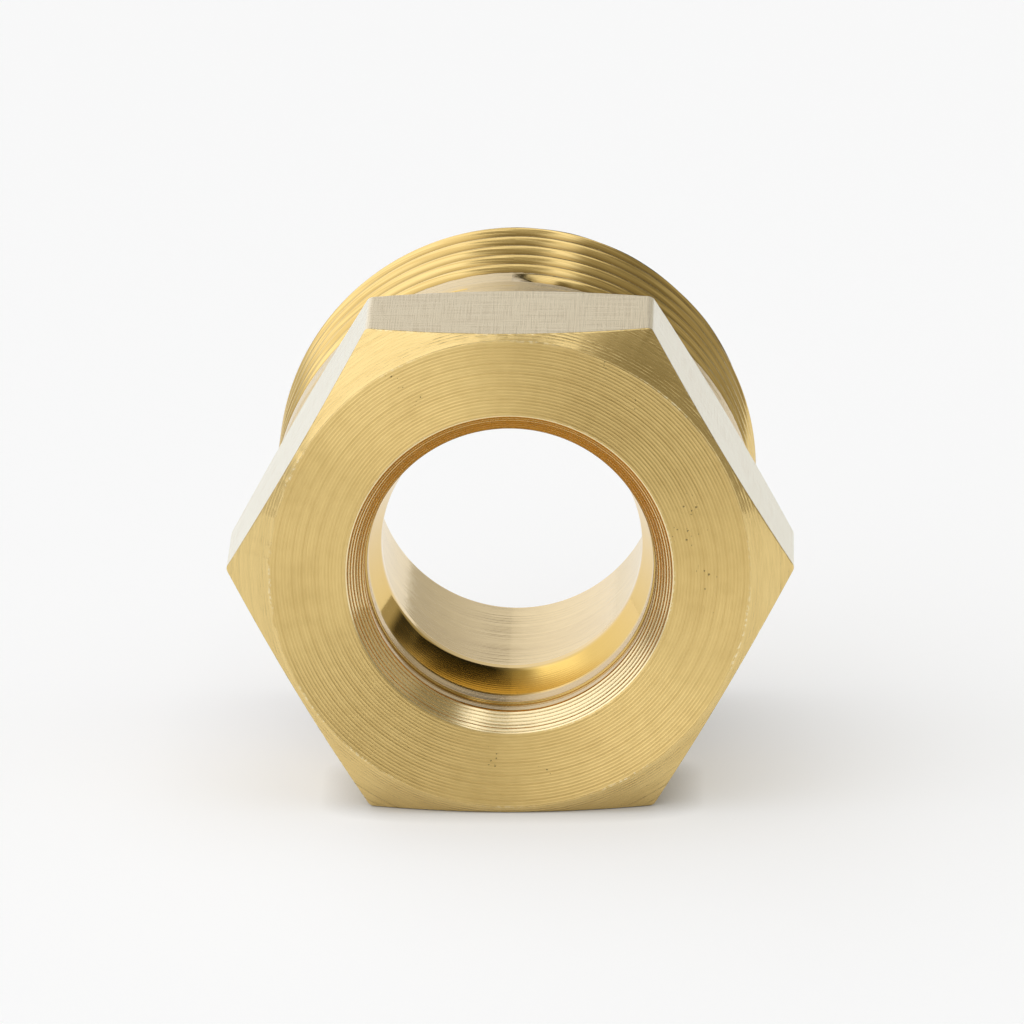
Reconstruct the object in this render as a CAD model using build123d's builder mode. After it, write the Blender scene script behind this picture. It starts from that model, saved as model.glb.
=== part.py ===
from build123d import *
import os
from math import cos, radians, tan

# Bullnose nut: one piece turned from drawn hexagon brass bar.
# Millimetres, +Z up. The bore runs along Y, with the spanner hexagon on the -Y side and
# the threaded shank on the +Y side. The origin is on the bore's axis, where the two meet.

# ---- hexagon ----
across_flats = 22.225          # 7/8 inch bar
hexagon_length = 8.6
corner_radius = 0.3            # the drawn bar's slightly rounded corners
chamfer_angle = 33.0           # turned cone on both ends, measured from the end face
face_margin = 0.28             # from the turned end face's edge out to the middle of a flat

# ---- threaded shank ----
bar_clean_up = 0.0375          # left on the flats, so that the shank turns fully round
shank_length = 13.4
lead_in_length = 0.8           # 45 degree lead-in at the thread's end
collar_length = 1.84           # plain part, from the hexagon to where the groove starts
turns_per_inch = 14
thread_angle = 60.0            # between the groove's two walls
cutter_overrun = 0.15          # how far the cutting profile stands out past the crests

# ---- bore radii, as steps out from the neck, which guides the spigot's stem ----
neck_diameter = 11.8
neck_lip_radius = 0.25
ring_height = 0.56             # neck to the inner ring
fine_step = 0.1                # inner ring to the front bore
mouth_flare = 0.825            # front bore to the mouth's edge
shoulder_height = 0.68         # neck to the rear bore, which clears the spigot's body
shoulder_angle = 45.0
rear_mouth_angle = 30.0        # measured from the axis

# ---- bore lengths, in order from the hexagon's face ----
mouth_length = 0.92
front_bore_length = 1.08
ring_length = 1.1
taper_length = 2.56
neck_length = 0.94
rear_mouth_length = 2.83       # back from the thread's end

# ---- places that follow from the sizes above ----
front = -hexagon_length
back = shank_length
flat_distance = across_flats / 2
corner_distance = flat_distance / cos(radians(30))
face_radius = flat_distance - face_margin
corner_drop = (corner_distance - face_radius) * tan(radians(chamfer_angle))
shank_radius = flat_distance - bar_clean_up

# the unified thread's form, with crest flats an eighth of the pitch wide
pitch = 25.4 / turns_per_inch
wall_slope = tan(radians(thread_angle / 2))
groove_depth = 0.6134 * pitch
groove_half_width = 7 / 16 * pitch
root_half_width = groove_half_width - groove_depth * wall_slope
cutter_half_width = groove_half_width + cutter_overrun * wall_slope
root_radius = shank_radius - groove_depth
groove_start = collar_length + groove_half_width

neck_radius = neck_diameter / 2
ring_radius = neck_radius + ring_height
front_bore_radius = ring_radius + fine_step
mouth_radius = front_bore_radius + mouth_flare
rear_bore_radius = neck_radius + shoulder_height
rear_mouth_radius = rear_bore_radius + rear_mouth_length * tan(radians(rear_mouth_angle))

mouth_end = front + mouth_length
front_bore_end = mouth_end + front_bore_length
ring_end = front_bore_end + ring_length
neck_start = ring_end + taper_length
neck_end = neck_start + neck_length
shoulder_end = neck_end + shoulder_height / tan(radians(shoulder_angle))
rear_mouth_start = back - rear_mouth_length

front_plane = Plane(origin=(0, front, 0), x_dir=(1, 0, 0), z_dir=(0, 1, 0))

with BuildPart() as bullnose_nut:
    # a length of hexagon bar, two of its flats level
    with BuildSketch(front_plane):
        bar = RegularPolygon(radius=flat_distance, side_count=6, major_radius=False)
        fillet(bar.vertices(), radius=corner_radius)
    extrude(amount=hexagon_length)

    # both ends turned to a shallow cone, which leaves the arched edges on the flats
    with BuildSketch(Plane.XY):
        Polygon(
            (0, front),
            (face_radius, front),
            (corner_distance, front + corner_drop),
            (corner_distance, -corner_drop),
            (face_radius, 0),
            (0, 0),
            align=None,
        )
    revolve(axis=Axis.Y, mode=Mode.INTERSECT)

    # the shank, turned to the thread's outside diameter, with its lead-in
    with BuildSketch(Plane.XY):
        Polygon(
            (0, front / 2),
            (shank_radius, front / 2),
            (shank_radius, back - lead_in_length),
            (shank_radius - lead_in_length, back),
            (0, back),
            align=None,
        )
    revolve(axis=Axis.Y)

    # the thread: one groove, which starts at the top behind the collar and is carried
    # along a right-hand helix and out through the end
    with BuildLine():
        Helix(
            pitch=pitch,
            height=back + pitch - groove_start,
            radius=shank_radius,
            center=(0, groove_start, 0),
            direction=(0, 1, 0),
        )
    with BuildSketch(Plane.YZ):
        Polygon(
            (groove_start - cutter_half_width, shank_radius + cutter_overrun),
            (groove_start - root_half_width, root_radius),
            (groove_start + root_half_width, root_radius),
            (groove_start + cutter_half_width, shank_radius + cutter_overrun),
            align=None,
        )
    sweep(is_frenet=True, mode=Mode.SUBTRACT)

    # the bore, narrowest at the neck
    with BuildSketch(Plane.XY) as bore_section:
        Polygon(
            (0, front),
            (mouth_radius, front),
            (front_bore_radius, mouth_end),
            (front_bore_radius, front_bore_end),
            (ring_radius, front_bore_end),
            (ring_radius, ring_end),
            (neck_radius, neck_start),
            (neck_radius, neck_end),
            (rear_bore_radius, shoulder_end),
            (rear_bore_radius, rear_mouth_start),
            (rear_mouth_radius, back),
            (0, back),
            align=None,
        )
        neck_corners = bore_section.vertices().group_by(Axis.X)[1]
        fillet(neck_corners, radius=neck_lip_radius)
    revolve(axis=Axis.Y, mode=Mode.SUBTRACT)

bullnose_nut.part.label = "bullnose_nut"

os.makedirs("parts", exist_ok=True)
export_step(bullnose_nut.part, "parts/bullnose_nut.step")
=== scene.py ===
import math
from types import SimpleNamespace

import bpy
import bmesh
import numpy as np
from mathutils import Matrix, Vector


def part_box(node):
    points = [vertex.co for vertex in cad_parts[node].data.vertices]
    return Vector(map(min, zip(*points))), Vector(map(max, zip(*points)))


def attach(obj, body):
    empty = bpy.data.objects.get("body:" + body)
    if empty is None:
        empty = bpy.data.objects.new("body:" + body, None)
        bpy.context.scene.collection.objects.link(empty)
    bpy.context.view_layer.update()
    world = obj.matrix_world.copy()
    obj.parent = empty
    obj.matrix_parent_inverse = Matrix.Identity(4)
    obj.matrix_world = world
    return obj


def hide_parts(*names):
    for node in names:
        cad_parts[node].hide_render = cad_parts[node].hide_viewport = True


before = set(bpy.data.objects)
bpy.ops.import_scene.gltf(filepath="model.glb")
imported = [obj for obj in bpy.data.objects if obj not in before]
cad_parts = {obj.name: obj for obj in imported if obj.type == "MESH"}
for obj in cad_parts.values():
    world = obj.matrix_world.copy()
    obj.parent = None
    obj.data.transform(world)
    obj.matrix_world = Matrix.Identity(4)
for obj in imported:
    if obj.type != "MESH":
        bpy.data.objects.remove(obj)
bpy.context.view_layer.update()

bl_info = {
    "name": "Bullnose nut",
    "version": (1, 0, 0),
    "blender": (4, 5, 0),
    "location": "View3D > Sidebar > Nut",
    "description": "Builds a turned brass bullnose nut on its CAD frame, with a plain studio",
    "category": "Object",
}

NODE = "bullnose_nut"
NODE_LOW, NODE_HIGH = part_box(NODE)
MM = 0.001
INCH = 0.0254
FULL_TURN = 2 * math.pi
SIXTH, TWELFTH = math.radians(60.0), math.radians(30.0)

# the unified thread's form: its walls' angle, and its groove as shares of the pitch
WALL_ANGLE = math.radians(30.0)
HALF_WIDTH_SHARE, DEPTH_SHARE = 7 / 16, 0.6134

FRAME_WIDTH = 36.0                      # of the camera, in millimetres
REAR_MOUTH_ANGLE = math.radians(30.0)   # measured from the axis
POINT_JOIN = 0.0003 * MM                # points nearer than this are one

# zones of the surface, in the order of the piece's material slots
END_FACE, CHAMFER, FLATS, THREAD, BORE = range(5)


# ---- sizes and finishes that a user would change ----

def length(label, text, metres):
    """A length property in metres, which may not be negative."""
    return bpy.props.FloatProperty(
        name=label, description=text, default=metres, min=0.0, precision=5,
        subtype="DISTANCE", unit="LENGTH")


def angle(label, text, degrees):
    """An angle property, given in degrees and kept in radians."""
    return bpy.props.FloatProperty(
        name=label, description=text, default=math.radians(degrees), subtype="ANGLE",
        unit="ROTATION")


def colour(label, text, value):
    """A linear colour property."""
    return bpy.props.FloatVectorProperty(
        name=label, description=text, default=value, size=3, min=0.0, max=1.0,
        subtype="COLOR")


def share(label, text, value, top=1.0):
    """A plain number property."""
    return bpy.props.FloatProperty(name=label, description=text, default=value, min=0.0, max=top)


class NutSizes(bpy.types.PropertyGroup):
    across_flats: length("Across flats", "Spanner size", NODE_HIGH.z - NODE_LOW.z)
    hexagon_length: length("Hexagon length", "End face to the back of the hexagon", -NODE_LOW.y)
    shank_length: length("Shank length", "Back of the hexagon to the thread's end", NODE_HIGH.y)
    corner_radius: length("Corner radius", "Rounding of the drawn bar's corners", 0.3 * MM)
    face_margin: length("Face margin", "End face's edge out to the middle of a flat", 0.28 * MM)
    chamfer_angle: angle("Chamfer angle", "Turned cone, measured from the end face", 33.0)
    bar_clean_up: length("Clean-up", "Left on the flats outside the shank", 0.0375 * MM)
    lead_in: length("Lead-in", "45 degree lead-in at the thread's end", 0.8 * MM)
    collar_length: length("Collar", "Plain shank ahead of the thread", 1.84 * MM)
    turns_per_inch: share("Turns per inch", "Thread turns per inch of length", 14.0, 40.0)
    neck_diameter: length("Neck diameter", "Narrowest place in the bore", 11.8 * MM)
    ring_height: length("Ring height", "Neck out to the inner ring", 0.56 * MM)
    fine_step: length("Fine step", "Inner ring out to the front bore", 0.1 * MM)
    mouth_flare: length("Mouth flare", "Front bore out to the mouth's edge", 0.825 * MM)
    shoulder_height: length("Shoulder height", "Neck out to the rear bore", 0.68 * MM)
    mouth_length: length("Mouth length", "Depth of the flared mouth", 0.92 * MM)
    front_bore_length: length("Front bore length", "Mouth to the fine step", 1.08 * MM)
    ring_length: length("Ring length", "Fine step to the taper", 1.1 * MM)
    taper_length: length("Taper length", "Taper down to the neck", 2.56 * MM)
    neck_length: length("Neck length", "Length of the narrowest place", 0.94 * MM)
    rear_mouth_length: length("Rear mouth length", "Depth of the flare at the thread", 2.83 * MM)
    edge_break: length("Edge break", "How far a turned edge is softened", 0.05 * MM)
    crest_rounding: length("Crest rounding", "How far the thread's crests are worn", 0.06 * MM)
    ragged: length("Ragged edge", "How far the cutter has torn the end face's edge", 0.03 * MM)


class NutFinish(bpy.types.PropertyGroup):
    brass: colour("Brass", "Turned metal", (0.84, 0.625, 0.255))
    # bright brass: real burrs and rubbed edges, and also the painted sheen in the flared mouth
    burr_and_sheen_brass: colour("Bright brass", "Rubbed edges and burrs", (0.97, 0.85, 0.55))
    # stained brass: real stains, streaks and scratches, and also the painted shade in the lathe's
    # lines
    stain_and_shade_brass: colour("Stained brass", "Where oil and air have stained it", (0.54, 0.36, 0.11))
    fresh_brass: colour("Fresh brass", "The turned chamfers", (0.83, 0.63, 0.275))
    # painted shade: the deeper brass painted into the bore's taper and neck
    taper_shade_brass: colour("Deep brass", "Painted shade in the bore's taper and neck", (0.80, 0.52, 0.09))
    # painted shade: the dark colour that the thread's root is painted with
    root_shade_colour: colour("Thread root", "Painted shade in the thread's root", (0.27, 0.17, 0.045))
    # painted sheen: the pale colour that the flats are painted with where they are seen at a low
    # angle
    grazing_sheen_brass: colour("Pale brass", "Painted sheen of the drawn flats seen at a low angle", (0.87, 0.84, 0.69))
    pit_colour: colour("Pits", "Dirt in the pits", (0.16, 0.11, 0.04))
    feed: length("Feed", "Spacing of the turning lines on the end face", 0.15 * MM)
    chamfer_feed: length("Chamfer feed", "Spacing of the lines on the chamfers", 0.12 * MM)
    bore_feed: length("Bore feed", "Spacing of the lines in the bore", 0.22 * MM)
    line_depth: length("Line depth", "Depth of the end face's lines", 0.021 * MM)
    face_roughness: share("Face roughness", "Roughness of the turned end face", 0.36)
    cut_roughness: share("Cut roughness", "Roughness of the turned chamfers", 0.24)
    thread_roughness: share("Thread roughness", "Roughness of the thread and its collar", 0.15)
    bore_roughness: share("Bore roughness", "Roughness of the bored walls", 0.06)
    mouth_roughness: share("Mouth roughness", "Roughness of the flared mouth", 0.18)
    collar_roughness: share("Collar roughness", "Roughness of the plain collar", 0.24)
    flat_roughness: share("Flat roughness", "Roughness of the drawn flats", 0.24)
    lathe_grain: share("Lathe grain", "How much rougher turned metal is across its lines", 0.88)


class StudioSettings(bpy.types.PropertyGroup):
    floor_colour: colour("Floor", "Pale floor", (0.93, 0.935, 0.935))
    camera_distance: length("Camera distance", "Camera to the end face", 0.6294)
    camera_height: angle("Camera height", "Angle above the nut's axis", 14.45)
    camera_turn: angle("Camera turn", "Turn to the side", -1.1)
    camera_roll: angle("Camera roll", "Roll about the view", -0.39)
    aim_side: length("Aim side", "View centre, to the side of the face's centre", 0.108 * MM)
    aim_up: length("Aim up", "View centre, above the face's centre", 2.841 * MM)
    lens: share("Lens", "Focal length on a 36 mm frame", 492.2, 2000.0)
    window: share("Window", "Radiance of the bright left side", 1.36, 10.0)
    room: share("Room", "Radiance of the dim right side", 0.40, 10.0)
    ceiling: share("Ceiling", "Radiance overhead", 1.05, 10.0)
    sweep: share("Sweep", "Radiance of the low white sweep behind", 1.02, 10.0)
    top_light: share("Top light", "Radiance of the soft light high above", 1.3, 10.0)
    lamp_power: share("Lamp power", "Watts of the soft lamp that lights the floor", 2.4, 50.0)
    glow: share("Glow", "Share of the floor's brightness that comes from beneath it", 0.4)


# ---- the nut's surface ----

def sector_angles(per_side=28, per_corner=4):
    """Clockwise angles from the top, seen from the hexagon, in radians. Each sixth of a turn
    runs from the middle of one flat to the middle of the next: even steps, closer at the
    corner. The last angle is the first plus a full turn."""
    near, seam = math.radians(1.1), math.radians(0.15)
    side = np.linspace(0.0, TWELFTH - near, per_side, endpoint=False)
    corner = np.linspace(-near, near, 2 * per_corner + 1) + TWELFTH
    sector = np.concatenate([side, corner, SIXTH - side[:0:-1]])
    turns = sector[None, :] + SIXTH * np.arange(6)[:, None]
    return np.concatenate([turns.ravel(), [FULL_TURN - seam, FULL_TURN]])


def drawn_round(turn, seed, count):
    """Numbers drawn at even steps round the axis, and joined by straight lines."""
    drawn = np.random.default_rng(seed + count).normal(size=count)
    steps = np.linspace(0.0, FULL_TURN, count + 1)
    return np.interp(turn, steps, np.append(drawn, drawn[0]))


def torn(turn, seed, size):
    """A ragged line round the axis: numbers drawn for every 1.2 degrees, times a slow wave
    that leaves some stretches clean."""
    clean = np.clip(0.4 + 0.6 * drawn_round(turn, seed, 12), 0.1, 1.5)
    return size * drawn_round(turn, seed, 300) * clean


def hexagon_radius(turn, flat, corner_radius):
    """Distance from the axis to the bar's surface at each angle: the flat's distance over
    the cosine of the angle from its middle, and the corner's arc where that is nearer."""
    from_flat = (turn + TWELFTH) % SIXTH - TWELFTH
    sharp = flat / np.cos(from_flat)
    centre = flat / math.cos(TWELFTH) - corner_radius / math.sin(SIXTH)
    from_corner = TWELFTH - np.abs(from_flat)
    inside = np.maximum(corner_radius ** 2 - (centre * np.sin(from_corner)) ** 2, 0.0)
    arc = centre * np.cos(from_corner) + np.sqrt(inside)
    reach = math.atan2(corner_radius / 2, centre + corner_radius * math.cos(TWELFTH))
    return np.where(from_corner < reach, arc, sharp)


def thread_radius(along, turn, sizes):
    """Distance from the axis at a place along the shank and an angle. The offset from the
    nearest turn of the groove gives the depth: a round root, 30 degree walls, and crests
    rounded by half of the wall's depth plus the root of its square and the rounding's.
    The groove starts at the top, in a torn ramp. The lead-in's cone cuts off the rest."""
    pitch, depth = sizes.pitch, sizes.groove_depth
    start, outside = sizes.groove_start, sizes.shank_radius
    place = (along - start) / pitch - turn / FULL_TURN
    number = np.round(place)
    offset = np.abs(place - number) * pitch
    wall = (sizes.groove_half_width - offset) / math.tan(WALL_ANGLE)
    wall = (wall + np.sqrt(wall ** 2 + 4 * sizes.crest_rounding ** 2)) / 2
    root_curve = 0.9
    root = depth - root_curve * offset ** 2 / pitch
    cut = np.clip(np.minimum(wall, root), 0.0, depth)
    wound = number + turn / FULL_TURN
    ramp_turns, tear, tear_rate = 0.06, 0.05, 1900.0
    ramp = np.clip(wound / ramp_turns, 0.0, 1.0)
    ramp = ramp + tear * np.sin(math.pi * ramp) * np.sin(wound * tear_rate)
    cut = cut * np.clip(ramp, 0.0, 1.0)
    lead = outside - (along - (sizes.back - sizes.lead_in))
    return np.minimum(outside - cut, lead)


def helix_rows(turn, sizes):
    """Places along the shank for rows that follow the thread: a row's place is the groove's
    start, plus the pitch times the turns wound, plus a fixed offset across the groove.
    Rows are held between the collar and the end, where they fold into one."""
    pitch, half = sizes.pitch, sizes.groove_half_width
    in_root = np.array([0.10, 0.19, 0.25]) * MM
    near_crest = half + np.array([-0.20, -0.12, -0.05, 0.01, 0.06]) * MM
    one_side = np.concatenate([in_root, near_crest])
    across = np.concatenate([-one_side[::-1], [0.0], one_side, [pitch / 2]])
    last = int(math.ceil((sizes.back - sizes.groove_start) / pitch)) + 1
    offsets = (np.arange(-2, last)[:, None] * pitch + across[None, :]).ravel()
    rows = sizes.groove_start + pitch * turn[None, :] / FULL_TURN + offsets[:, None]
    return np.clip(rows, sizes.thread_from, sizes.back)


def softened(points, reach, support):
    """Rows that round off a profile's corners. Each corner gives five rows: one just before
    the bend, three on a parabola between the points a reach away on both sides, and one just
    past it. The reach is at most two fifths of the shorter neighbour at each angle."""
    before = np.roll(points, 1, axis=0)
    after = np.roll(points, -1, axis=0)
    to_before, to_after = before - points, after - points
    size_before = np.maximum(np.linalg.norm(to_before, axis=2, keepdims=True), 1e-9)
    size_after = np.maximum(np.linalg.norm(to_after, axis=2, keepdims=True), 1e-9)
    to_before, to_after = to_before / size_before, to_after / size_after
    room = 0.4 * np.minimum(size_before, size_after)
    near = np.minimum(reach[:, None, None], room)
    far = np.minimum(near + support, 0.48 * np.minimum(size_before, size_after))
    start, end = points + to_before * near, points + to_after * near
    middle = (start + 2 * points + end) / 4
    rows = np.stack([points + to_before * far, start, middle, end, points + to_after * far], 1)
    return rows.reshape(-1, points.shape[1], 2)


def worked_sizes(props):
    """The sizes that a user sets and those that follow from them, in metres."""
    s = SimpleNamespace(**{name: getattr(props, name) for name in props.__annotations__})
    s.flat = s.across_flats / 2
    s.slope = math.tan(s.chamfer_angle)
    s.shank_radius = s.flat - s.bar_clean_up
    s.face_radius = s.flat - s.face_margin

    s.pitch = INCH / s.turns_per_inch
    s.groove_half_width = HALF_WIDTH_SHARE * s.pitch
    s.groove_depth = DEPTH_SHARE * s.pitch
    s.groove_start = s.collar_length + s.groove_half_width
    s.thread_from = 0.55 * s.collar_length    # the first of the rows that follow the thread

    s.neck = s.neck_diameter / 2
    s.ring = s.neck + s.ring_height
    s.front_bore = s.ring + s.fine_step
    s.mouth = s.front_bore + s.mouth_flare
    s.rear_bore = s.neck + s.shoulder_height
    s.rear_mouth = s.rear_bore + s.rear_mouth_length * math.tan(REAR_MOUTH_ANGLE)

    s.front, s.back = -s.hexagon_length, s.shank_length
    s.mouth_end = s.front + s.mouth_length
    s.step = s.mouth_end + s.front_bore_length
    s.ring_end = s.step + s.ring_length
    s.neck_start = s.ring_end + s.taper_length
    s.neck_end = s.neck_start + s.neck_length
    s.shoulder_end = s.neck_end + s.shoulder_height
    s.rear_mouth_start = s.back - s.rear_mouth_length
    return s


def nut_rows(sizes, turn):
    """The whole closed profile as rows of (place along the axis, distance from it), one
    column for each angle, with the zone of the faces that follow each row and how near
    each row is to a turned edge."""
    s = sizes
    face_seed, bar_seed, bar_share = 3, 5, 0.3
    bar = hexagon_radius(turn, s.flat, s.corner_radius)
    face_edge = s.face_radius + torn(turn, face_seed, s.ragged)
    drop = (bar - s.face_radius) * s.slope + torn(turn, bar_seed, bar_share * s.ragged)
    foot = (s.shank_radius - s.face_radius) * s.slope

    def ring(along, radius):
        pair = np.stack(np.broadcast_arrays(along, radius, turn)[:2], axis=1)
        return pair.astype(float)

    end_radius = thread_radius(np.full_like(turn, s.back), turn, s)
    soft = s.edge_break
    corners = [
        (s.front, s.mouth, soft, END_FACE),
        (s.front, face_edge, soft, CHAMFER),
        (s.front + drop, bar, soft, FLATS),
        (-drop, bar, soft, CHAMFER),
        (-foot, s.shank_radius, soft, THREAD),
        (s.thread_from, s.shank_radius, soft, THREAD),
        (s.back, end_radius, soft, BORE),
        (s.back, s.rear_mouth, soft, BORE),
        (s.rear_mouth_start, s.rear_bore, soft, BORE),
        (s.shoulder_end, s.rear_bore, soft, BORE),
        (s.neck_end, s.neck, 4 * soft, BORE),
        (s.neck_start, s.neck, 4 * soft, BORE),
        (s.ring_end, s.ring, soft, BORE),
        (s.step, s.ring, soft, BORE),
        (s.step, s.front_bore, soft, BORE),
        (s.mouth_end, s.front_bore, 0.5 * soft, BORE),
    ]
    points = np.stack([ring(*corner[:2]) for corner in corners])
    reach = np.array([corner[2] for corner in corners])
    zones = np.array([corner[3] for corner in corners])
    support = 0.04 * MM
    rows = softened(points, reach, support)
    previous = np.roll(zones, 1)
    row_zones = np.stack([previous, previous, zones, zones, zones], 1).ravel()
    corner_wear = [0.0, 0.6, 1.0, 0.6, 0.0]
    worn = np.tile(corner_wear, len(corners))

    # the thread's own rows stand between the collar's last row and the end face
    along = helix_rows(turn, s)
    helix = np.stack([along, thread_radius(along, turn[None, :], s)], axis=2)
    per_corner, collar_corner, end_corner = len(corner_wear), 5, 6
    cut, end = per_corner * collar_corner + 4, per_corner * end_corner + 3
    rows = np.concatenate([rows[:cut], helix, rows[end:]])
    helix_zone = np.full(len(helix), THREAD)
    helix_zone[-1] = BORE
    row_zones = np.concatenate([row_zones[:cut], helix_zone, row_zones[end:]])
    crest_wear = 0.5 * np.r_[1.0, 0.8, 0.4, np.zeros(11), 0.4, 0.8, 1.0, 1.0]
    crest_wear = np.tile(crest_wear, len(helix) // len(crest_wear))
    worn = np.concatenate([worn[:cut], crest_wear, worn[end:]])
    return rows, row_zones, worn


def add_map(mesh, name, before, after, along):
    """A map in which each face runs round from one value to another. The values along are
    given for its four corners."""
    around = np.broadcast_to(np.stack([before, before, after, after], -1), along.shape)
    layer = mesh.uv_layers.new(name=name)
    layer.data.foreach_set("uv", np.stack([around, along], -1).ravel().astype(np.float32))


def nut_mesh(name, sizes):
    """The nut as one closed surface: the profile at each angle, turned about the Y axis. An
    angle is measured clockwise from the top, so X is the radius times its sine and Z the
    radius times its cosine. Rows run round the profile and columns round the axis."""
    turn = sector_angles()
    rows, row_zones, worn = nut_rows(sizes, turn)
    along, radius = rows[..., 0], rows[..., 1]
    count, columns = along.shape
    places = np.stack([radius * np.sin(turn), along, radius * np.cos(turn)], axis=2)

    row, column = np.meshgrid(np.arange(count), np.arange(columns - 1), indexing="ij")
    below = (row + 1) % count
    quads = np.stack([row * columns + column, below * columns + column,
                      below * columns + column + 1, row * columns + column + 1], axis=2)
    quads = quads.reshape(-1, 4)

    mesh = bpy.data.meshes.new(name)
    mesh.from_pydata(places.reshape(-1, 3), [], quads)
    mesh.polygons.foreach_set("material_index", np.repeat(row_zones, columns - 1))
    wear = mesh.attributes.new("edge_wear", "FLOAT", "POINT")
    wear.data.foreach_set("value", np.repeat(worn, columns).astype(np.float32))

    # the bar's own map, in metres: round the flats, with its joint at a corner, and along
    side = sizes.flat * 2 * math.tan(TWELFTH)
    middle = (turn[:-1] + turn[1:]) / 2
    flat_number = np.floor((middle + TWELFTH) / SIXTH)
    begun = flat_number * side - np.where(flat_number >= 6, 6 * side, 0.0)
    near_edge, far_edge = (begun + sizes.flat * np.tan(edge - flat_number * SIXTH)
                           for edge in (turn[:-1], turn[1:]))
    corners = (count, columns - 1, 4)
    add_map(mesh, "bar", near_edge, far_edge, along.ravel()[quads].reshape(corners))

    # the lathe's map: turns round the axis, and metres along the profile's row
    step = np.linalg.norm(np.roll(rows[:, 0], -1, axis=0) - rows[:, 0], axis=1)
    unrolled = np.concatenate([[0.0], np.cumsum(step)])
    turns = turn / FULL_TURN
    onward = np.stack([unrolled[:-1], unrolled[1:], unrolled[1:], unrolled[:-1]], -1)
    onward = np.broadcast_to(onward[:, None, :], corners)
    add_map(mesh, "lathe", turns[:-1], turns[1:], onward)

    work = bmesh.new()
    work.from_mesh(mesh)
    bmesh.ops.remove_doubles(work, verts=work.verts, dist=POINT_JOIN)
    bmesh.ops.dissolve_degenerate(work, edges=work.edges, dist=POINT_JOIN)
    bmesh.ops.recalc_face_normals(work, faces=work.faces)
    work.to_mesh(mesh)
    work.free()
    mesh.shade_smooth()
    mesh.update()
    return mesh


# ---- shader helpers ----

def give(tree, sockets, values):
    """Links or sets each named socket. A colour is given without its alpha."""
    for key, value in values.items():
        socket = sockets[key]
        if isinstance(value, bpy.types.NodeSocket):
            tree.links.new(value, socket)
        else:
            socket.default_value = (*value, 1.0) if socket.type == "RGBA" else value


def node(tree, kind, inputs=None, **settings):
    """Adds a shader node with its settings, and links or sets each named input."""
    made = tree.nodes.new("ShaderNode" + kind)
    for key, value in settings.items():
        setattr(made, key, value)
    give(tree, made.inputs, inputs or {})
    return made


def maths(tree, operation, *values):
    """A Math node's value."""
    return node(tree, "Math", dict(enumerate(values)), operation=operation).outputs[0]


def times(tree, first, second):
    """Two values multiplied."""
    return maths(tree, "MULTIPLY", first, second)


def plus(tree, first, second):
    """Two values added."""
    return maths(tree, "ADD", first, second)


def spread(tree, value, low, high, to_low=0.0, to_high=1.0):
    """A value carried smoothly from one range to another, and held at its ends."""
    return node(tree, "MapRange", {
        "Value": value, "From Min": low, "From Max": high, "To Min": to_low,
        "To Max": to_high}, interpolation_type="SMOOTHSTEP").outputs[0]


def blended(tree, amount, first, second):
    """Two colours mixed by an amount. They are the Mix node's seventh and eighth inputs."""
    return node(tree, "Mix", {0: amount, 6: first, 7: second}, data_type="RGBA").outputs[2]


def noise(tree, vector, scale, detail, roughness=0.5, output=0, dimensions="3D"):
    """A Noise Texture's value, or its colour where output is 1."""
    return node(tree, "TexNoise", {
        "Vector": vector, "Scale": scale, "Detail": detail, "Roughness": roughness},
        noise_dimensions=dimensions).outputs[output]


def shader_group(name, inputs, outputs):
    """An empty node group with named sockets, what it is given, and what it gives out."""
    group = bpy.data.node_groups.new(name, "ShaderNodeTree")
    for label, kind, value in inputs:
        socket = group.interface.new_socket(label, in_out="INPUT", socket_type=kind)
        if value is not None:
            socket.default_value = value
    for label, kind in outputs:
        group.interface.new_socket(label, in_out="OUTPUT", socket_type=kind)
    given, out = (group.nodes.new("NodeGroup" + end) for end in ("Input", "Output"))
    return group, given.outputs, out.inputs


def place_group(tree, group, inputs):
    """A group placed in a material, with its own values."""
    return node(tree, "Group", inputs, node_tree=group)


FLOAT, VECTOR, COLOR = "NodeSocketFloat", "NodeSocketVector", "NodeSocketColor"


def turning_lines_group():
    """Tool lines left by a lathe. The distance divided by the feed counts the lines, and a
    little noise makes them wander. Each is a scallop, the square of the place across it, and
    a number drawn for each line makes it deeper or shallower, and lighter or darker. The
    groove, strongest at the middle of each line, is the mask for shade painted into them."""
    group, given, out = shader_group(
        "Turning lines",
        [("Distance", FLOAT, 0.0), ("Feed", FLOAT, 0.00015), ("Vector", VECTOR, None),
         ("Wander", FLOAT, 0.25), ("Uneven", FLOAT, 0.7)],
        [("Height", FLOAT), ("Groove", FLOAT), ("Tone", FLOAT)])
    drift = noise(group, given["Vector"], 260.0, 1.0)
    count = maths(group, "DIVIDE", given["Distance"], given["Feed"])
    count = plus(group, count, times(group, drift, given["Wander"]))
    line = maths(group, "FLOOR", count)
    doubled = times(group, maths(group, "FRACT", count), 2.0)
    across = maths(group, "ABSOLUTE", maths(group, "SUBTRACT", doubled, 1.0))
    drawn = node(group, "TexWhiteNoise", {"W": line}, noise_dimensions="1D").outputs[0]
    mean_depth = 0.85
    varied = times(group, maths(group, "SUBTRACT", drawn, 0.5), given["Uneven"])
    depth = plus(group, varied, mean_depth)
    scallop = times(group, maths(group, "POWER", across, 2.0), depth)
    # the groove, strongest at the middle of each line, masks the painted shade in the lines
    groove = times(group, spread(group, across, 0.7, 0.2), depth)
    give(group, out, {"Height": scallop, "Groove": groove, "Tone": drawn})
    return group


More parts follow.
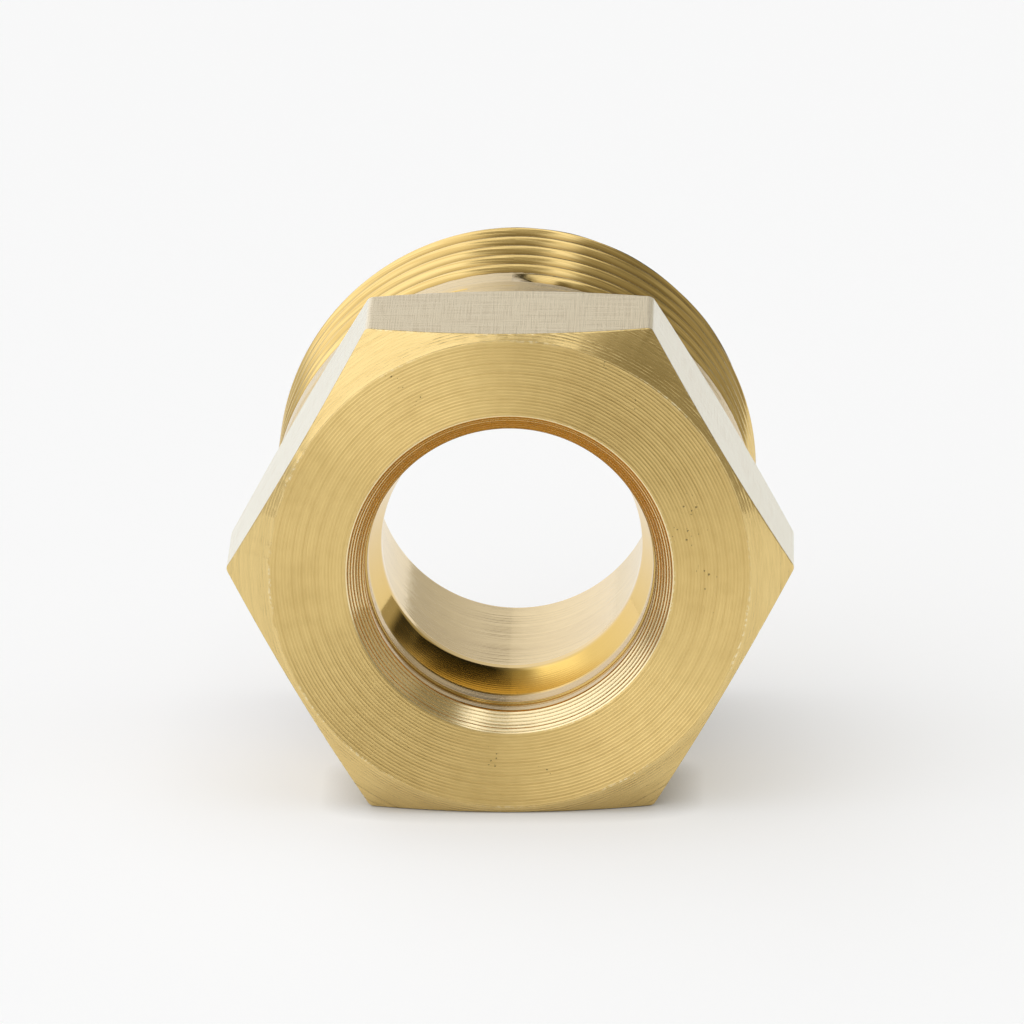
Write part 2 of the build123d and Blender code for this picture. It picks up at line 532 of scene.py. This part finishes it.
def stains_group():
    """Bare metal that air and oil have stained in soft patches of two sizes."""
    group, given, out = shader_group(
        "Stains",
        [("Vector", VECTOR, None), ("Base", COLOR, None), ("Stain", COLOR, None),
         ("Amount", FLOAT, 0.35)],
        [("Color", COLOR), ("Patches", FLOAT)])
    wide = noise(group, given["Vector"], 140.0, 3.0, roughness=0.6)
    fine = noise(group, given["Vector"], 1500.0, 1.5)
    wide_share, fine_share = 0.65, 0.35
    patches = plus(group, times(group, spread(group, wide, 0.40, 0.68), wide_share),
                   times(group, spread(group, fine, 0.35, 0.75), fine_share))
    amount = times(group, patches, given["Amount"])
    surface = blended(group, amount, given["Base"], given["Stain"])
    give(group, out, {"Color": surface, "Patches": patches})
    return group


def pits_group():
    """Small pits in loose clusters: round cells that open only where a wider noise is high."""
    group, given, out = shader_group(
        "Pits", [("Vector", VECTOR, None), ("Size", FLOAT, 0.3)], [("Mask", FLOAT)])
    vector, rim = given["Vector"], 0.08
    shake, cluster_start = (0.1 * MM,) * 3, (21.3 * MM, 0.0, 8.7 * MM)
    shaken = noise(group, vector, 9000.0, 1.0, output=1)
    moved = node(group, "VectorMath", {0: shaken, 1: shake, 2: vector},
                 operation="MULTIPLY_ADD").outputs[0]
    cells = node(group, "TexVoronoi", {"Vector": moved, "Scale": 5200.0})
    elsewhere = node(group, "VectorMath", {0: vector, 1: cluster_start},
                     operation="ADD").outputs[0]
    clusters = noise(group, elsewhere, 420.0, 1.0)
    drawn = node(group, "SeparateColor", {0: cells.outputs["Color"]}).outputs[0]
    varied = times(group, spread(group, drawn, 0.1, 0.9, 0.35, 1.5), given["Size"])
    size = times(group, spread(group, clusters, 0.61, 0.74), varied)
    depth = maths(group, "DIVIDE", maths(group, "SUBTRACT", size, cells.outputs["Distance"]), rim)
    held = maths(group, "MINIMUM", maths(group, "MAXIMUM", depth, 0.0), 1.0)
    give(group, out, {"Mask": held})
    return group


def streaks_group():
    """Fine streaks in two directions, a small angle to either side of the first axis: noise
    drawn out by the two lengths given, turned by the angle, and added."""
    group, given, out = shader_group(
        "Streaks",
        [("Vector", VECTOR, None), ("Long", FLOAT, 0.003), ("Fine", FLOAT, 0.0001),
         ("Angle", FLOAT, 0.2), ("Crossed", FLOAT, 1.0)],
        [("Height", FLOAT)])
    size = node(group, "CombineXYZ", {"X": given["Long"], "Y": given["Fine"], "Z": 1.0})
    layers = []
    for side in (1.0, -1.0):
        turned = node(group, "CombineXYZ", {"Z": times(group, given["Angle"], side)})
        placed = node(group, "Mapping", {
            "Vector": given["Vector"], "Rotation": turned.outputs[0], "Scale": size.outputs[0],
            "Location": (0.0, 0.01 * side, 0.0)}, vector_type="TEXTURE").outputs[0]
        layers.append(noise(group, placed, 1.0, 1.5, dimensions="2D"))
    total = plus(group, layers[0], times(group, layers[1], given["Crossed"]))
    mean = maths(group, "DIVIDE", total, plus(group, given["Crossed"], 1.0))
    give(group, out, {"Height": mean})
    return group


def burr_group():
    """Flecks along a turned edge: fine noise, kept where the edge's wear is high."""
    group, given, out = shader_group(
        "Burr", [("Vector", VECTOR, None), ("Wear", FLOAT, 0.0)], [("Mask", FLOAT)])
    flecks = noise(group, given["Vector"], 7000.0, 2.0)
    runs = noise(group, given["Vector"], 300.0, 1.0)
    kept = times(group, spread(group, flecks, 0.48, 0.60), spread(group, runs, 0.42, 0.66, 0.05))
    give(group, out, {"Mask": times(group, kept, given["Wear"])})
    return group


def brass_material(name, roughness, grain):
    """A metal material with its shader, its output and Object coordinates. The metal is
    rougher across the lathe's lines than along them, by the grain."""
    material = bpy.data.materials.new(name)
    material.use_nodes = True
    tree = material.node_tree
    tree.nodes.clear()
    around = node(tree, "Tangent", direction_type="UV_MAP", uv_map="lathe").outputs[0]
    shader = node(tree, "BsdfPrincipled", {
        "Metallic": 1.0, "Roughness": roughness, "Anisotropic": grain,
        "Anisotropic Rotation": 0.25, "Tangent": around})
    node(tree, "OutputMaterial", {"Surface": shader.outputs[0]})
    place = node(tree, "TexCoord").outputs["Object"]
    return material, tree, shader, place


def dressed(tree, shader, surface, height, depth, rough=None):
    """Gives a material's shader its colour, its height as a bump of a depth, and, where it
    changes over the surface, its roughness."""
    bump = node(tree, "Bump", {"Height": height, "Strength": 1.0, "Distance": depth})
    give(tree, shader.inputs, {"Base Color": surface, "Normal": bump.outputs[0]})
    if rough is not None:
        give(tree, shader.inputs, {"Roughness": rough})


def lathe_places(tree, place, radius, outward, onward):
    """A place on the turned surface, in metres: the way round at a typical radius, and the
    way across the lines, as shares of the distance out from the axis and on along it."""
    turns = node(tree, "SeparateXYZ", {0: node(tree, "UVMap", uv_map="lathe").outputs[0]})
    parts = node(tree, "SeparateXYZ", {0: place})
    square = plus(tree, maths(tree, "POWER", parts.outputs["X"], 2.0),
                  maths(tree, "POWER", parts.outputs["Z"], 2.0))
    out = maths(tree, "SQRT", square)
    across = plus(tree, times(tree, out, outward), times(tree, parts.outputs["Y"], onward))
    around = times(tree, turns.outputs["X"], FULL_TURN * radius)
    placed = node(tree, "CombineXYZ", {"X": around, "Y": across}).outputs[0]
    return placed, across, out


def lines_on(tree, groups, place, along, feed, wander, uneven):
    """Turning lines, as a placed group."""
    return place_group(tree, groups["lines"], {
        "Distance": along, "Feed": feed, "Vector": place, "Wander": wander, "Uneven": uneven})


def streaks_on(tree, groups, places, long, fine, angle=0.0, crossed=0.0):
    """Streaks, as a placed group. Their length and width are in metres."""
    return place_group(tree, groups["streaks"], {
        "Vector": places, "Long": long, "Fine": fine, "Angle": angle, "Crossed": crossed})


def stained(tree, groups, place, finish, amount, base=None):
    """The brass with its stains, as a placed group."""
    return place_group(tree, groups["stains"], {
        "Vector": place, "Base": base or finish.brass, "Stain": finish.stain_and_shade_brass,
        "Amount": amount})


def with_burr(tree, groups, place, finish, surface, amount):
    """A colour with the bright flecks of a worn edge over it."""
    wear = node(tree, "Attribute", attribute_name="edge_wear").outputs["Fac"]
    burr = place_group(tree, groups["burr"], {"Vector": place, "Wear": wear})
    return blended(tree, times(tree, burr.outputs[0], amount), surface, finish.burr_and_sheen_brass)


def turned_metal(tree, groups, place, finish, lines, streaks, stain, line_shade,
                 streak_shade, streak_height, base=None):
    """Stained brass, with shade painted into the grooves of the lathe's lines and darkened
    along its streaks, and the height of both."""
    stains = stained(tree, groups, place, finish, stain, base)
    # painted shade: each line's groove is darkened toward the stained colour, along with each
    # line's own tone and the streaks
    tone_shade = 0.2 * line_shade
    shade = plus(tree, times(tree, lines.outputs["Groove"], line_shade),
                 times(tree, lines.outputs["Tone"], tone_shade))
    shade = plus(tree, shade, spread(tree, streaks.outputs[0], 0.58, 0.38,
                                     to_high=streak_shade))
    toned = blended(tree, shade, stains.outputs["Color"], finish.stain_and_shade_brass)
    height = plus(tree, lines.outputs["Height"],
                  times(tree, streaks.outputs[0], streak_height))
    return toned, height, stains


def end_face_material(groups, finish):
    """The turned end face: even scallops at the lathe's feed, with pits and soft stains."""
    material, tree, shader, place = brass_material(
        "turned_end_face", finish.face_roughness, finish.lathe_grain)
    lathe, along, _ = lathe_places(tree, place, radius=9.0 * MM, outward=1.0, onward=0.0)
    lines = lines_on(tree, groups, place, along, finish.feed, wander=0.25, uneven=0.45)
    streaks = streaks_on(tree, groups, lathe, long=1.5 * MM, fine=0.05 * MM)
    toned, height, stains = turned_metal(tree, groups, place, finish, lines, streaks,
                                         stain=0.30, line_shade=0.36, streak_shade=0.06,
                                         streak_height=0.15)
    pits = place_group(tree, groups["pits"], {"Vector": place, "Size": 0.19})
    worn = with_burr(tree, groups, place, finish, toned, amount=0.6)
    pit_shade, stain_roughness = 0.8, 0.06
    pitted = blended(tree, times(tree, pits.outputs[0], pit_shade), worn, finish.pit_colour)
    height = maths(tree, "SUBTRACT", height, pits.outputs[0])
    rough = plus(tree, finish.face_roughness,
                 times(tree, stains.outputs["Patches"], stain_roughness))
    dressed(tree, shader, pitted, height, finish.line_depth, rough)
    return material


def chamfer_material(groups, finish):
    """The turned chamfers: uneven lines round the nut, with fine streaks that cross them at
    a small angle, and torn bright edges."""
    material, tree, shader, place = brass_material(
        "turned_chamfer", finish.cut_roughness, finish.lathe_grain)
    lathe, along, _ = lathe_places(tree, place, radius=11.5 * MM, outward=1.0, onward=0.0)
    lines = lines_on(tree, groups, place, along, finish.chamfer_feed, wander=0.9, uneven=1.5)
    streaks = streaks_on(tree, groups, lathe, long=2.2 * MM, fine=0.06 * MM, angle=0.09,
                         crossed=0.8)
    toned, height, _ = turned_metal(tree, groups, place, finish, lines, streaks,
                                    stain=0.12, line_shade=0.14, streak_shade=0.16,
                                    streak_height=1.2, base=finish.fresh_brass)
    worn = with_burr(tree, groups, place, finish, toned, amount=0.8)
    dressed(tree, shader, worn, height, 0.014 * MM)
    return material


def flat_material(groups, finish):
    """The drawn flats: lines along the bar, crossed by fine scratches, and a painted sheen
    that turns them pale where they are seen at a low angle."""
    material, tree, shader, place = brass_material("drawn_flats", finish.flat_roughness, 0.0)
    bar_map = node(tree, "UVMap", uv_map="bar").outputs[0]
    drawn = streaks_on(tree, groups, bar_map, long=0.06 * MM, fine=4.0 * MM, angle=0.01,
                       crossed=1.0)
    across = streaks_on(tree, groups, bar_map, long=3.0 * MM, fine=0.16 * MM, angle=0.012,
                        crossed=1.0)
    both = plus(tree, drawn.outputs[0], across.outputs[0])
    stains = stained(tree, groups, place, finish, amount=0.12)
    lined = blended(tree, spread(tree, both, 0.98, 0.80, to_high=0.45), stains.outputs["Color"],
                    finish.stain_and_shade_brass)
    # painted sheen: the colour turns toward the pale brass where a flat is seen at a low angle
    low_view = node(tree, "LayerWeight", {"Blend": 0.5}).outputs["Facing"]
    pale = blended(tree, spread(tree, low_view, 0.63, 0.92), lined, finish.grazing_sheen_brass)
    scored = blended(tree, spread(tree, both, 1.02, 0.84, to_high=0.22), pale,
                     finish.stain_and_shade_brass)
    worn = with_burr(tree, groups, place, finish, scored, amount=0.5)
    dressed(tree, shader, worn, both, 0.006 * MM)
    return material


def thread_material(groups, finish):
    """The cut thread and its collar: lathe lines and streaks along the turns, and painted
    shade that darkens the root."""
    material, tree, shader, place = brass_material(
        "cut_thread", finish.thread_roughness, 0.7 * finish.lathe_grain)
    lathe, along, out = lathe_places(tree, place, radius=10.5 * MM, outward=0.0, onward=1.0)
    lines = lines_on(tree, groups, place, along, finish.feed, wander=0.5, uneven=1.2)
    streaks = streaks_on(tree, groups, lathe, long=5.0 * MM, fine=0.05 * MM)
    stains = stained(tree, groups, place, finish, amount=0.2)
    # painted shade in the root: from 0.16 mm under the outer radius the colour turns toward the
    # dark root colour, fully at 0.44 mm
    outside, shade_from, shade_full = NODE_HIGH.z, 0.16 * MM, 0.44 * MM
    in_root = spread(tree, out, outside - shade_full, outside - shade_from, 0.92, 0.0)
    rooted = blended(tree, in_root, stains.outputs["Color"], finish.root_shade_colour)
    lined = blended(tree, spread(tree, streaks.outputs[0], 0.56, 0.40, to_high=0.5), rooted,
                    finish.stain_and_shade_brass)
    line_share = 0.3
    height = maths(tree, "MULTIPLY_ADD", lines.outputs["Height"], line_share,
                   streaks.outputs[0])
    collar_end, soft = bpy.context.scene.nut_sizes.collar_length, 0.1 * MM
    rough = spread(tree, along, collar_end - soft, collar_end + soft,
                   finish.collar_roughness, finish.thread_roughness)
    dressed(tree, shader, lined, height, 0.005 * MM, rough)
    return material


def bore_material(groups, finish):
    """The bored walls and the flared mouth: clean bright metal with spaced lines and fine
    streaks round them, darker front walls, a painted sheen in the mouth, and painted shade,
    a deeper brass, in the taper and the neck."""
    material, tree, shader, place = brass_material(
        "bored_wall", finish.bore_roughness, 0.8 * finish.lathe_grain)
    sizes = bpy.context.scene.nut_sizes
    ring = sizes.neck_diameter / 2 + sizes.ring_height
    mouth_end = sizes.mouth_length - sizes.hexagon_length
    ring_end = mouth_end + sizes.front_bore_length + sizes.ring_length
    lathe, along, out = lathe_places(tree, place, radius=6.5 * MM, outward=-0.7, onward=1.0)
    lines = lines_on(tree, groups, place, along, finish.bore_feed, wander=0.3, uneven=1.4)
    streaks = streaks_on(tree, groups, lathe, long=8.0 * MM, fine=0.09 * MM)
    toned, height, _ = turned_metal(tree, groups, place, finish, lines, streaks,
                                    stain=0.35, line_shade=0.16, streak_shade=0.14,
                                    streak_height=0.12)

    # masks: the taper and neck, for painted shade; all from the ring forward, and its walls
    # alone, which are darkened; and the mouth, for a painted sheen. The first three numbers
    # below are the strength of the taper's painted shade, of the walls' darkening and of the
    # mouth's painted sheen
    oil, front_wall_darkening, mouth_shine, soft = 0.85, 0.8, 0.7, 0.1 * MM
    along_axis = node(tree, "SeparateXYZ", {0: place}).outputs["Y"]
    narrow = spread(tree, out, ring - 0.06 * MM, ring - 0.02 * MM, oil, 0.0)
    ahead = spread(tree, along_axis, ring_end - soft, ring_end + soft, 1.0, 0.0)
    walls = spread(tree, out, ring + 0.12 * MM, ring + 0.2 * MM, front_wall_darkening, 0.0)
    in_mouth = spread(tree, along_axis, mouth_end - 0.08 * MM, mouth_end, 1.0, 0.0)

    # the ring and the front bore's walls are darkened toward the stained colour
    ringed = blended(tree, times(tree, ahead, walls), toned, finish.stain_and_shade_brass)
    # painted sheen: the flared mouth is mixed toward the bright brass, so its glints look whiter
    shining = blended(tree, times(tree, in_mouth, mouth_shine), ringed, finish.burr_and_sheen_brass)
    # painted shade: the taper and neck turn toward a deeper, more saturated brass, for the shade
    # and the reflections between their walls
    taper_shaded = blended(tree, narrow, shining, finish.taper_shade_brass)

    # the lines are cut deeper forward of the taper, deepest in the mouth, and are shallow in
    # the taper and neck, where the shade is painted
    ring_depth, mouth_depth, taper_line_depth = 3.0, 6.0, 0.2
    depth = maths(tree, "MULTIPLY_ADD", ahead, ring_depth,
                  maths(tree, "MULTIPLY_ADD", in_mouth, mouth_depth, 1.0))
    taper_line_share = spread(tree, narrow, 0.0, oil, 1.0, taper_line_depth)
    height = times(tree, times(tree, height, depth), taper_line_share)
    turned = maths(tree, "MULTIPLY_ADD", ahead, 0.5, times(tree, in_mouth, 0.5))
    rough = spread(tree, turned, 0.0, 1.0, finish.bore_roughness, finish.mouth_roughness)
    dressed(tree, shader, taper_shaded, height, 0.0012 * MM, rough)
    return material


# ---- the studio ----

def studio_floor(studio, height):
    """A large pale floor just under the nut, lit partly from beneath, as a light table is.
    The glow fails where the nut stands close over it."""
    half, close = 4.0, 2.0 * MM
    mesh = bpy.data.meshes.new("floor")
    mesh.from_pydata([(-half, -half, height), (half, -half, height), (half, half, height),
                      (-half, half, height)], [], [(0, 1, 2, 3)])
    floor = bpy.data.objects.new("floor", mesh)
    bpy.context.scene.collection.objects.link(floor)
    material = bpy.data.materials.new("floor")
    material.use_nodes = True
    tree = material.node_tree
    shader = tree.nodes["Principled BSDF"]
    lit = [part * (1.0 - studio.glow) for part in studio.floor_colour]
    paths = node(tree, "LightPath")
    seen = maths(tree, "MAXIMUM", paths.outputs["Is Camera Ray"], maths(
        tree, "MAXIMUM", paths.outputs["Is Glossy Ray"], paths.outputs["Is Transmission Ray"]))
    clear = node(tree, "AmbientOcclusion", {"Distance": close}, samples=4)
    glow = times(tree, times(tree, seen, studio.glow), clear.outputs["AO"])
    give(tree, shader.inputs, {
        "Base Color": lit, "Roughness": 0.8, "Specular IOR Level": 0.2,
        "Emission Color": studio.floor_colour, "Emission Strength": glow})
    mesh.materials.append(material)


def studio_room(studio):
    """The room's light, by direction, as panels with soft borders laid over one another. A
    panel is a range of bearing (degrees from behind the nut, right positive, or leftward all
    the way round) and a range of rise above the floor. The left half is one large window.
    The right half is dim, with a pale ceiling, a strip light high in front and a dark corner
    behind. A white sweep stands low behind the nut. The camera sees plain white."""
    world = bpy.data.worlds.new("studio")
    bpy.context.scene.world = world
    world.use_nodes = True
    world.cycles.sampling_method = "NONE"
    tree = world.node_tree
    tree.nodes.clear()
    parts = node(tree, "SeparateXYZ", {0: node(tree, "TexCoord").outputs["Generated"]})
    side, ahead, height = (parts.outputs[axis] for axis in "XYZ")
    bearing = maths(tree, "DEGREES", maths(tree, "ARCTAN2", side, ahead))
    leftward = maths(tree, "WRAP", times(tree, bearing, -1.0), 360.0, 0.0)
    rise = maths(tree, "DEGREES", maths(tree, "ARCSINE", height))

    def above(value, low, soft):
        return spread(tree, value, low - soft, low + soft)

    def between(value, low, high, soft):
        fall = spread(tree, value, high - soft, high + soft, 1.0, 0.0)
        return times(tree, above(value, low, soft), fall)

    def leaning(value, other, start, slope):
        """A value that moves with another, past a starting place."""
        past = maths(tree, "MAXIMUM", maths(tree, "SUBTRACT", other, start), 0.0)
        return maths(tree, "MULTIPLY_ADD", past, slope, value)

    def panel(under, radiance, mask):
        return node(tree, "Mix", {0: mask, 2: under, 3: radiance}, data_type="FLOAT").outputs[0]

    def panels(under, rows):
        """Panels laid on in order: radiance, which way round, its range, which way up, its
        range. A range is low, high and the softness of its borders."""
        for radiance, around, side_range, upward, rise_range in rows:
            mask = times(tree, between(around, *side_range), between(upward, *rise_range))
            under = panel(under, radiance, mask)
        return under

    room, ceiling = studio.room, studio.ceiling
    top, zenith = above(rise, 66.0, 4.0), above(rise, 79.0, 1.5)
    strip = leaning(rise, leftward, 188.0, -1.05)
    low = spread(tree, bearing, -14.0, 30.0, studio.sweep, 0.35 * studio.sweep)
    level = panels(room, (
        # the dim wall on the right, and two patches in front
        (0.68 * room, leftward, (196.0, 232.0, 6.0), rise, (-10.0, 36.0, 6.0)),
        (0.6 * room, leftward, (228.0, 275.0, 8.0), rise, (42.0, 61.0, 4.0)),
        (1.2 * room, leftward, (177.0, 193.0, 3.0), rise, (20.0, 45.0, 4.0))))
    level = panel(level, 1.25 * ceiling, top)
    level = panels(level, (
        # the ceiling's dark patch in front, and its pale end behind
        (0.5 * ceiling, leftward, (176.0, 212.0, 4.0), rise, (60.0, 77.0, 3.0)),
        (0.9 * ceiling, bearing, (-20.0, 24.0, 5.0), rise, (42.5, 70.0, 1.5)),
        (ceiling, bearing, (18.0, 80.0, 6.0), rise, (56.0, 70.0, 4.0)),
        # the strip light, the dark corner and the sweep
        (1.25 * ceiling, leftward, (187.0, 232.0, 5.0), strip, (28.5, 43.0, 4.0)),
        (0.05 * room, bearing, (0.0, 50.0, 8.0), rise, (6.0, 42.0, 2.5)),
        (low, bearing, (-60.0, 32.0, 4.0), rise, (-20.0, 16.5, 1.5))))

    # the window's two leaning borders, and what shows in it
    back = leaning(leftward, rise, 20.0, -0.5)
    front = leaning(leftward, rise, 42.0, 1.4)
    window = times(tree, spread(tree, back, -3.0, 10.0),
                   spread(tree, front, 177.0, 187.0, 1.0, 0.0))
    low_strip = leaning(rise, leftward, 0.0, 0.18)
    low_strip = times(tree, between(leftward, 45.0, 143.0, 7.0),
                      spread(tree, low_strip, 27.0, 43.0, 1.0, 0.0))
    bright = panel(studio.window, studio.top_light, above(rise, 62.0, 6.0))
    bright = panel(bright, 0.5 * studio.window, low_strip)
    bright = panels(bright, ((low, leftward, (0.0, 45.0, 6.0), rise, (-20.0, 26.0, 5.0)),))
    level = panel(level, bright, window)
    level = panels(level, (
        (0.5 * room, leftward, (171.0, 191.0, 2.5), rise, (-20.0, 21.0, 3.0)),))
    level = panel(level, ceiling, zenith)

    # the dim parts of the room are warmer than the window
    warmth = spread(tree, level, 0.2, 0.85)
    hue = blended(tree, warmth, (1.04, 0.95, 0.70), (1.0, 1.0, 1.03))
    paths = node(tree, "LightPath")
    seen = maths(tree, "MAXIMUM", paths.outputs["Is Camera Ray"],
                 paths.outputs["Is Transmission Ray"])
    light = node(tree, "Background", {"Color": hue, "Strength": level})
    white = node(tree, "Background", {"Color": studio.floor_colour, "Strength": 1.0})
    mixed = node(tree, "MixShader", {0: seen, 1: light.outputs[0], 2: white.outputs[0]})
    node(tree, "OutputWorld", {"Surface": mixed.outputs[0]})


def studio_lamp(studio):
    """A wide soft lamp high over the nut. It lights the floor, and bright metal doesn't
    mirror it."""
    light = bpy.data.lights.new("soft lamp", "AREA")
    light.shape = "SQUARE"
    light.size = 1.2                          # metres, and so is its place
    light.energy = studio.lamp_power
    lamp = bpy.data.objects.new("soft lamp", light)
    lamp.location = (0.35, -0.25, 0.95)
    lamp.rotation_euler = (-0.25, 0.35, 0.0)
    lamp.visible_glossy = False
    bpy.context.scene.collection.objects.link(lamp)


def studio_camera(studio, face_centre):
    """A long lens in front of the hexagon. The view's direction comes from the height and
    turn angles, and the view's centre lies a set way beside and above the face's centre."""
    rise, turn, roll = studio.camera_height, studio.camera_turn, studio.camera_roll
    forward = Vector((math.sin(turn) * math.cos(rise), math.cos(turn) * math.cos(rise),
                      -math.sin(rise)))
    level = Vector((math.cos(turn), -math.sin(turn), 0.0))
    upright = level.cross(forward)
    right = level * math.cos(roll) + upright * math.sin(roll)
    up = upright * math.cos(roll) - level * math.sin(roll)
    aim = face_centre + right * studio.aim_side + up * studio.aim_up
    lens = bpy.data.cameras.new("camera")
    lens.sensor_width = FRAME_WIDTH
    lens.lens = studio.lens
    lens.clip_start, lens.clip_end = 0.01, 50.0
    lens.dof.use_dof = False
    camera = bpy.data.objects.new("camera", lens)
    turned = Matrix((right, up, -forward)).transposed().to_4x4()
    camera.matrix_world = Matrix.Translation(aim - forward * studio.camera_distance) @ turned
    bpy.context.scene.collection.objects.link(camera)
    bpy.context.scene.camera = camera


# ---- operators, panel and registration ----

class NUT_OT_surface(bpy.types.Operator):
    """Build the nut's whole surface and let it stand for the CAD node"""
    bl_idname = "nut.surface"
    bl_label = "Nut surface"

    def execute(self, context):
        mesh = nut_mesh("nut", worked_sizes(context.scene.nut_sizes))
        nut = bpy.data.objects.new("nut", mesh)
        context.scene.collection.objects.link(nut)
        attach(nut, "root")
        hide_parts(NODE)
        return {"FINISHED"}


class NUT_OT_finish(bpy.types.Operator):
    """Give the nut's zones their turned, drawn and cut brass finishes"""
    bl_idname = "nut.finish"
    bl_label = "Nut finishes"

    def execute(self, context):
        nut = bpy.data.objects.get("nut")
        if nut is None:
            raise RuntimeError("build the nut's surface before its finishes")
        finish = context.scene.nut_finish
        groups = {"lines": turning_lines_group(), "stains": stains_group(),
                  "pits": pits_group(), "streaks": streaks_group(), "burr": burr_group()}
        for make in (end_face_material, chamfer_material, flat_material, thread_material,
                     bore_material):
            nut.data.materials.append(make(groups, finish))
        return {"FINISHED"}


class NUT_OT_studio(bpy.types.Operator):
    """Add the pale floor, the room's light and the camera"""
    bl_idname = "nut.studio"
    bl_label = "Studio"

    def execute(self, context):
        studio = context.scene.nut_studio
        low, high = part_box(NODE)
        if low.z >= high.z:
            raise RuntimeError("the CAD node has no height")
        floor_gap = 0.02 * MM
        studio_floor(studio, low.z - floor_gap)
        studio_room(studio)
        studio_lamp(studio)
        middle = (low + high) / 2
        studio_camera(studio, Vector((middle.x, low.y, middle.z)))
        context.scene.view_settings.view_transform = "Standard"
        return {"FINISHED"}


class NUT_PT_panel(bpy.types.Panel):
    """Lists the nut's sizes, finishes, studio and operators"""
    bl_idname = "NUT_PT_panel"
    bl_label = "Bullnose nut"
    bl_space_type = "VIEW_3D"
    bl_region_type = "UI"
    bl_category = "Nut"

    def draw(self, context):
        layout = self.layout
        scene = context.scene
        for title, group in (("Sizes", scene.nut_sizes), ("Finish", scene.nut_finish),
                             ("Studio", scene.nut_studio)):
            box = layout.box()
            box.label(text=title)
            for name in group.__annotations__:
                box.prop(group, name)
        for operator in (NUT_OT_surface, NUT_OT_finish, NUT_OT_studio):
            layout.operator(operator.bl_idname)


CLASSES = (NutSizes, NutFinish, StudioSettings, NUT_OT_surface, NUT_OT_finish, NUT_OT_studio,
           NUT_PT_panel)


def register():
    for item in CLASSES:
        bpy.utils.register_class(item)
    bpy.types.Scene.nut_sizes = bpy.props.PointerProperty(type=NutSizes)
    bpy.types.Scene.nut_finish = bpy.props.PointerProperty(type=NutFinish)
    bpy.types.Scene.nut_studio = bpy.props.PointerProperty(type=StudioSettings)


def unregister():
    del bpy.types.Scene.nut_studio
    del bpy.types.Scene.nut_finish
    del bpy.types.Scene.nut_sizes
    for item in reversed(CLASSES):
        bpy.utils.unregister_class(item)


def main():
    register()
    bpy.ops.nut.surface()
    bpy.ops.nut.finish()
    bpy.ops.nut.studio()


if __name__ == "__main__":
    main()
